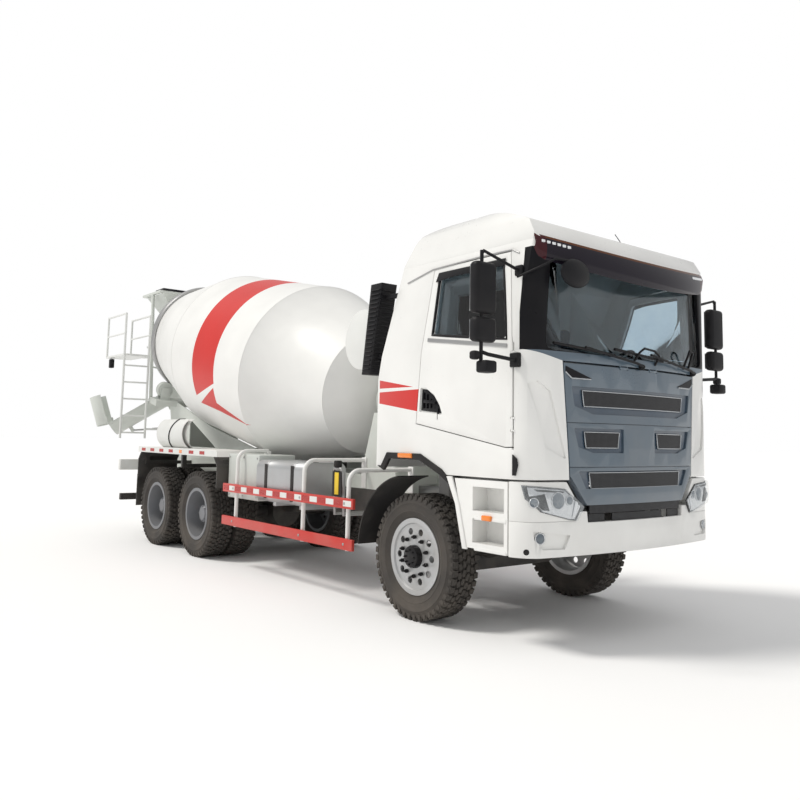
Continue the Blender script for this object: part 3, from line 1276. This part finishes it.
# Windscreen fittings: two pantograph wipers on spindles through the cowl, two grab loops of bent
# bar bolted under the glass, and a rod aerial on the roof, all black.
WIPERS = [(0.02, -0.70, -1.00), (0.86, 0.10, -0.34)]  # pivot, joint on the blade, blade's far end
LOOPS = [
    [(0.230, 2.215), (0.215, 2.290), (0.140, 2.325), (0.000, 2.335), (-0.060, 2.300), (-0.070, 2.225)],
    [(0.700, 2.215), (0.690, 2.330), (0.720, 2.375), (0.780, 2.365), (0.800, 2.225)],
]
cowl_parts = []
for pivot, knee, far in WIPERS:
    bends = ((pivot, 2.185, 0.030), (pivot - 0.10, 2.205, 0.045), (knee, 2.290, 0.050))
    arm = [(*front_skin(across, out), up) for across, up, out in bends]
    cowl_parts.append(rod_along("arm", arm, 0.011))
    blade = [(far + 0.66 * part / 6, 2.305 - 0.050 * part / 6) for part in range(7)]
    cowl_parts.append(rod_along("blade", [(*front_skin(across, 0.020), up) for across, up in blade], 0.012))
    cowl_parts.append(dome("pivot", pivot, 2.185, 0.026, 0.0, 0.045))
for loop in LOOPS:
    outs = [0.0] + [0.055] * (len(loop) - 2) + [0.0]
    spots = [(*front_skin(across, out), up) for (across, up), out in zip(loop, outs)]
    cowl_parts.append(rod_along("loop", spots, 0.010))
dressed(joined("wipers_and_loops", cowl_parts), black_plastic, "cab")
aerial = rod_along("aerial", from_axle([(1.02, 0.60, 3.28), (0.84, 0.60, 3.54)]), 0.004)
dressed(aerial, black_plastic, "cab")


# Side guards: red channel boards banded with red and white reflective blocks, bolted to white
# tube posts that hang from the chassis rails.
GUARD_RED = (0.58, 0.022, 0.014)
BOARD_START = -3.49
BLOCK_PITCH = 0.150
guard_paint = coated("guard_paint", WHITE, amount=0.25, gloss=0.34, grain=50.0, relief=0.08)
guard_tree = guard_paint.node_tree
_, guard_across, guard_height = place(guard_tree)
guard_high = between(guard_tree, guard_height, 0.878, 0.980)
guard_low = between(guard_tree, guard_height, 0.490, 0.600)
board = calc(guard_tree, "MAXIMUM", guard_high, guard_low)
board = all_of(guard_tree, board, above(guard_tree, guard_across, 1.2185))
paint_over(guard_paint, blended(guard_tree, board, WHITE, GUARD_RED))
refined("side_guards", "chassis", guard_paint, edge=0.003)
reflective_white = coated(
    "reflective_white", (0.74, 0.74, 0.72), amount=0.15, gloss=0.3, grain=220.0, relief=0.25
)
reflective_red = coated(
    "reflective_red", (0.40, 0.008, 0.006), amount=0.12, gloss=0.25, grain=220.0, relief=0.25
)


def bolt_head(ahead, out, up, side, half):
    """A square bolt head on the truck's side."""
    return boxed("bolt", (ahead - half, ahead + half), out, (up - half, up + half), side, edge=0.003)


whites = []
reds = []
bolts = []
for side in (-1, 1):
    for order in range(18):
        start = BOARD_START + BLOCK_PITCH * order
        block = boxed("block", (start, start + 0.135), (1.2495, 1.2515), (0.902, 0.957), side)
        (whites if order % 2 else reds).append(block)
    for post in (-3.24, -1.735, -0.92):
        for up in (0.929, 0.546):
            bolts.append(bolt_head(post, (1.249, 1.257), up, side, 0.012))
dressed(joined("guard_whites", whites), reflective_white, "chassis")
dressed(joined("guard_reds", reds), reflective_red, "chassis")
dressed(joined("guard_bolts", bolts), steel, "chassis")


# Air intake: a moulded black plastic duct behind the cab's right corner, with a column of
# slanted louvres moulded into its outer and front faces.
refined("air_intake", "cab", black_plastic, edge=0.012)
slats = []
for order in range(19):
    low = 2.190 + 0.041 * order
    front_edge = -0.575 + 0.165 * (low - 2.15) / 0.85
    rear_edge = -0.690 + 0.120 * (low - 2.15) / 0.85
    slat = boxed("slat", (rear_edge + 0.012, front_edge - 0.010), (1.236, 1.252), (low, low + 0.012), -1)
    only(slat)
    bpy.ops.transform.rotate(
        value=radians(28), orient_axis="X", center_override=(AXLE_X + front_edge, -1.240, low + 0.006)
    )
    slats.append(settled("slat"))
    front_reach = (front_edge - 0.002, front_edge + 0.016)
    slats.append(boxed("slat", front_reach, (1.075, 1.225), (low, low + 0.014), -1))
dressed(joined("intake_slats", slats), black_plastic, "cab")


# Fuel tank and cabinets: an aluminium tank with dark straps and a capped neck, and pale pressed
# cabinets with a screw at each corner of their doors.
cabinet_paint = coated("cabinet_grey", (0.60, 0.63, 0.60), amount=0.35, gloss=0.36, relief=0.06)
refined("side_cabinets", "chassis", cabinet_paint, edge=0.012)
straps = []
for along in (-2.585, -2.015):
    straps.append(boxed("strap", (along - 0.028, along + 0.028), (1.180, 1.186), (0.86, 1.24), -1))
dressed(joined("tank_straps", straps), black_plastic, "chassis")
cap = bevelled(cylinder("tank_cap", 32, 0.048, 0.060, (AXLE_X - 1.90, -0.98, 1.300)), 0.008, segments=2)
dressed(cap, black_plastic, "chassis")
fittings = []
for side in (-1, 1):
    for along in (-3.60, -3.25, -2.91):
        for up in (1.29, 0.84):
            fittings.append(bolt_head(along, (1.119, 1.127), up, side, 0.011))
dressed(joined("cabinet_screws", fittings), steel, "chassis")


# Rear fenders: pressed black mudguards with a white strip riveted along the top edge, which
# carries red reflective dashes and an orange lamp.
FENDER_X = (-6.37, -3.705)
FENDER_OUT = 1.245
fender_paint = coated("fender_paint", WHITE, amount=0.3, gloss=0.4, relief=0.1)
fender_tree = fender_paint.node_tree
fender_low = below(fender_tree, place(fender_tree)[2], 1.279)
paint_over(fender_paint, blended(fender_tree, fender_low, WHITE, (0.012, 0.012, 0.013)))
refined("rear_fenders", "chassis", fender_paint, edge=0.003)
dashes = []
fender_lamps = []
edge_strips = []
for side in (-1, 1):
    span = (FENDER_OUT - 0.001, FENDER_OUT + 0.005)
    edge_strips.append(boxed("strip", FENDER_X, span, (1.280, 1.362), side, edge=0.002))
    for order in range(7):
        start = FENDER_X[0] + 0.14 + 0.335 * order
        lamp_here = order == 4
        ends = (start + 0.02, start + 0.11) if lamp_here else (start, start + 0.145)
        mark = boxed("mark", ends, (FENDER_OUT + 0.004, FENDER_OUT + 0.007), (1.300, 1.342), side)
        (fender_lamps if lamp_here else dashes).append(mark)
dressed(joined("fender_edges", edge_strips), body_white, "chassis")
dressed(joined("fender_dashes", dashes), reflective_red, "chassis")
dressed(joined("fender_lamps", fender_lamps), orange, "chassis")


# Rear light board and underrun: black bars with red and orange lamps in white housings and a
# blank white plate between them.
BOARD_X = -7.275
HOUSING_START = 0.72
bar_end = max(corner[1] for corner in nodes["rear_bar"].bound_box) + 0.006
refined("rear_bar", "chassis", black_plastic, edge=0.006)
tail_red = coated(
    "tail_red", (0.55, 0.01, 0.01), amount=0.05, gloss=0.12, grain=180.0, relief=0.2, Coat_Weight=0.8
)
housings = []
red_lamps = []
orange_lamps = []
for side in (-1, 1):
    housing_x = (BOARD_X - 0.050, BOARD_X + 0.036)
    housings.append(boxed("housing", housing_x, (HOUSING_START, bar_end), (0.972, 1.138), side, 0.010, 2))
    for out, group in (((0.74, 0.87), red_lamps), ((0.88, 1.01), red_lamps), ((1.02, 1.14), orange_lamps)):
        group.append(boxed("lamp", (BOARD_X - 0.060, BOARD_X - 0.046), out, (1.000, 1.110), side, 0.006, 2))
dressed(joined("tail_housings", housings), body_white, "chassis")
dressed(joined("tail_lamps", red_lamps), tail_red, "chassis")
dressed(joined("turn_lamps", orange_lamps), orange, "chassis")
plate = boxed("blank_plate", (BOARD_X - 0.008, BOARD_X - 0.001), (-0.24, 0.24), (0.99, 1.12), edge=0.002)
dressed(plate, body_white, "chassis")


# Hopper lid and chute strap: a black rubber rim on the charging hopper and a black ratchet strap
# round the stored chute sections.
STRAP_X = -5.52
STRAP_MIDDLE = (0.933, 1.56)
STRAP_RADIUS = 0.243
rubber_black = coated(
    "rubber_black", (0.012, 0.012, 0.016), amount=0.15, gloss=0.5, grain=120.0, relief=0.3,
    Specular_IOR_Level=0.25,
)
lid = boxed("hopper_lid", (-7.72, -7.38), (-0.60, 0.60), (3.948, 3.986), edge=0.012, segments=2)
dressed(lid, rubber_black, "chassis")
strap_path = [(STRAP_X, 1.045, 1.352)]
for step in range(13):
    turn_angle = radians(-56 + 112 * step / 12)
    out = STRAP_MIDDLE[0] + STRAP_RADIUS * cos(turn_angle)
    strap_path.append((STRAP_X + 0.016 * step, out, STRAP_MIDDLE[1] + STRAP_RADIUS * sin(turn_angle)))
strap_path.append((-5.31, 0.99, 1.765))
chute_strap = rod_along("chute_strap", from_axle(strap_path, -1), 0.009, sides=1)
dressed(chute_strap, rubber_black, "chassis")


# Filler stand between the tank and the mudguard: a bent grey tube from the rail with a black
# cap on top and a blank yellow label plate between its legs.
STAND_PATH = [(-1.42, 0.43, 0.78), (-1.42, 1.02, 0.78), (-1.42, 1.04, 1.20), (-1.40, 1.05, 1.24)]
STAND_PATH += [(-1.28, 1.05, 1.24), (-1.26, 1.04, 1.20), (-1.26, 1.02, 0.78), (-1.26, 0.43, 0.78)]
yellow = coated("blank_label", (0.85, 0.60, 0.02), amount=0.15, gloss=0.4, grain=90.0, relief=0.05)
dressed(rod_along("filler_stand", from_axle(STAND_PATH, -1), 0.016), steel, "chassis")
label = boxed("blank_label", (-1.375, -1.305), (1.058, 1.064), (0.98, 1.20), -1, edge=0.001)
dressed(label, yellow, "chassis")
label_plate = boxed("label_plate", (-1.425, -1.255), (1.050, 1.058), (0.96, 1.22), -1, edge=0.002)
dressed(label_plate, black_plastic, "chassis")
knob = bevelled(cylinder("filler_cap", 24, 0.042, 0.07, (AXLE_X - 1.34, -1.05, 1.285)), 0.010, segments=2)
dressed(knob, black_plastic, "chassis")


# Platform lamp: a black plastic work lamp bolted under the corner of the ladder's platform, to
# light the chute.
work_lamp = boxed("work_lamp", (-8.185, -8.095), (1.100, 1.170), (2.640, 2.790), -1, edge=0.012, segments=2)
dressed(work_lamp, black_plastic, "chassis")


# Cab interior: a moulded plastic dashboard, engine cover and steering wheel in dark grained
# trim, fixed to the cab's floor.
TRIM = (0.030, 0.032, 0.036)
cabin = coated("cabin_trim", TRIM, amount=0.05, gloss=0.7, grain=500.0, relief=0.3, Specular_IOR_Level=0.2)
cabin_tree = cabin.node_tree
cabin_ahead, cabin_across, _ = place(cabin_tree)
seat_mask = all_of(cabin_tree, below(cabin_tree, cabin_ahead, 0.73), above(cabin_tree, cabin_across, 0.35))
weave = mottle(cabin_tree, 220.0, 2.0)
cloth = blended(cabin_tree, spread(cabin_tree, weave, 0.4, 0.6), (0.055, 0.060, 0.075), (0.095, 0.10, 0.12))
paint_over(cabin, blended(cabin_tree, seat_mask, TRIM, cloth))
cabin_rest = refined("cab_interior", "cab", cabin, edge=0.018)


# Seats: two cloth cushions and backs with headrests, sewn and stuffed, on moulded bases that
# stand on the cab's floor.
SEAT_CLOTH = (0.075, 0.080, 0.095)
SEAT_MIDDLE = 0.61
SEAT_FLOOR = 1.545
SEAT_PADS = [  # name, lowest corner from the seat's middle, highest, crown, lean in degrees
    ("cushion", (0.230, -0.250, 1.780), (0.740, 0.250, 1.930), 0.030, 3),
    ("back", (0.130, -0.240, 1.880), (0.270, 0.240, 2.500), 0.026, -9),
    ("headrest", (0.060, -0.140, 2.490), (0.150, 0.140, 2.680), 0.020, -9),
]
seat_work = bmesh.new()
seat_work.from_mesh(cabin_rest.data)
seat_corners = [
    corner
    for corner in seat_work.verts
    if corner.co.x < AXLE_X + 0.735 and abs(corner.co.y) > 0.35 and corner.co.z > 1.50
]
bmesh.ops.delete(seat_work, geom=seat_corners, context="VERTS")
seat_work.to_mesh(cabin_rest.data)
seat_work.free()
seat_cloth = coated(
    "seat_cloth", SEAT_CLOTH, amount=0.04, gloss=0.85, grain=650.0, relief=0.5, Specular_IOR_Level=0.15
)


def pad(name, low, high, crown, lean):
    """A stuffed pad: a cube cut small, its faces crowned and its edges drawn in."""
    piece = cube(name, low, high)
    bpy.ops.object.mode_set(mode="EDIT")
    bpy.ops.mesh.select_all(action="SELECT")
    bpy.ops.mesh.subdivide(number_cuts=11)
    bpy.ops.object.mode_set(mode="OBJECT")
    middle = (Vector(low) + Vector(high)) / 2
    half = (Vector(high) - Vector(low)) / 2
    for corner in piece.data.vertices:
        share = [(corner.co[axis] - middle[axis]) / half[axis] for axis in range(3)]
        for axis in range(3):
            others = [share[other] for other in range(3) if other != axis]
            fall = (1 - others[0] ** 4) * (1 - others[1] ** 4)
            corner.co[axis] = middle[axis] + share[axis] * (half[axis] - crown * (1 - fall))
    heel = (low[0], middle.y, low[2])
    bpy.ops.transform.rotate(value=radians(lean), orient_axis="Y", center_override=heel)
    settled(name)
    bpy.ops.object.shade_smooth()
    return piece


for side, name in ((1, "left"), (-1, "right")):
    for label, low, high, crown, lean in SEAT_PADS:
        start = (AXLE_X + low[0], side * SEAT_MIDDLE + low[1], low[2])
        end = (AXLE_X + high[0], side * SEAT_MIDDLE + high[1], high[2])
        stuffed = pad(f"seat_{label}_{name}", start, end, crown, lean)
        dressed(stuffed, seat_cloth, "cab")
    span = (SEAT_MIDDLE - 0.20, SEAT_MIDDLE + 0.20)
    base = boxed(f"seat_base_{name}", (0.280, 0.680), span, (SEAT_FLOOR, 1.800), side, 0.015, 2)
    dressed(base, cabin, "cab")
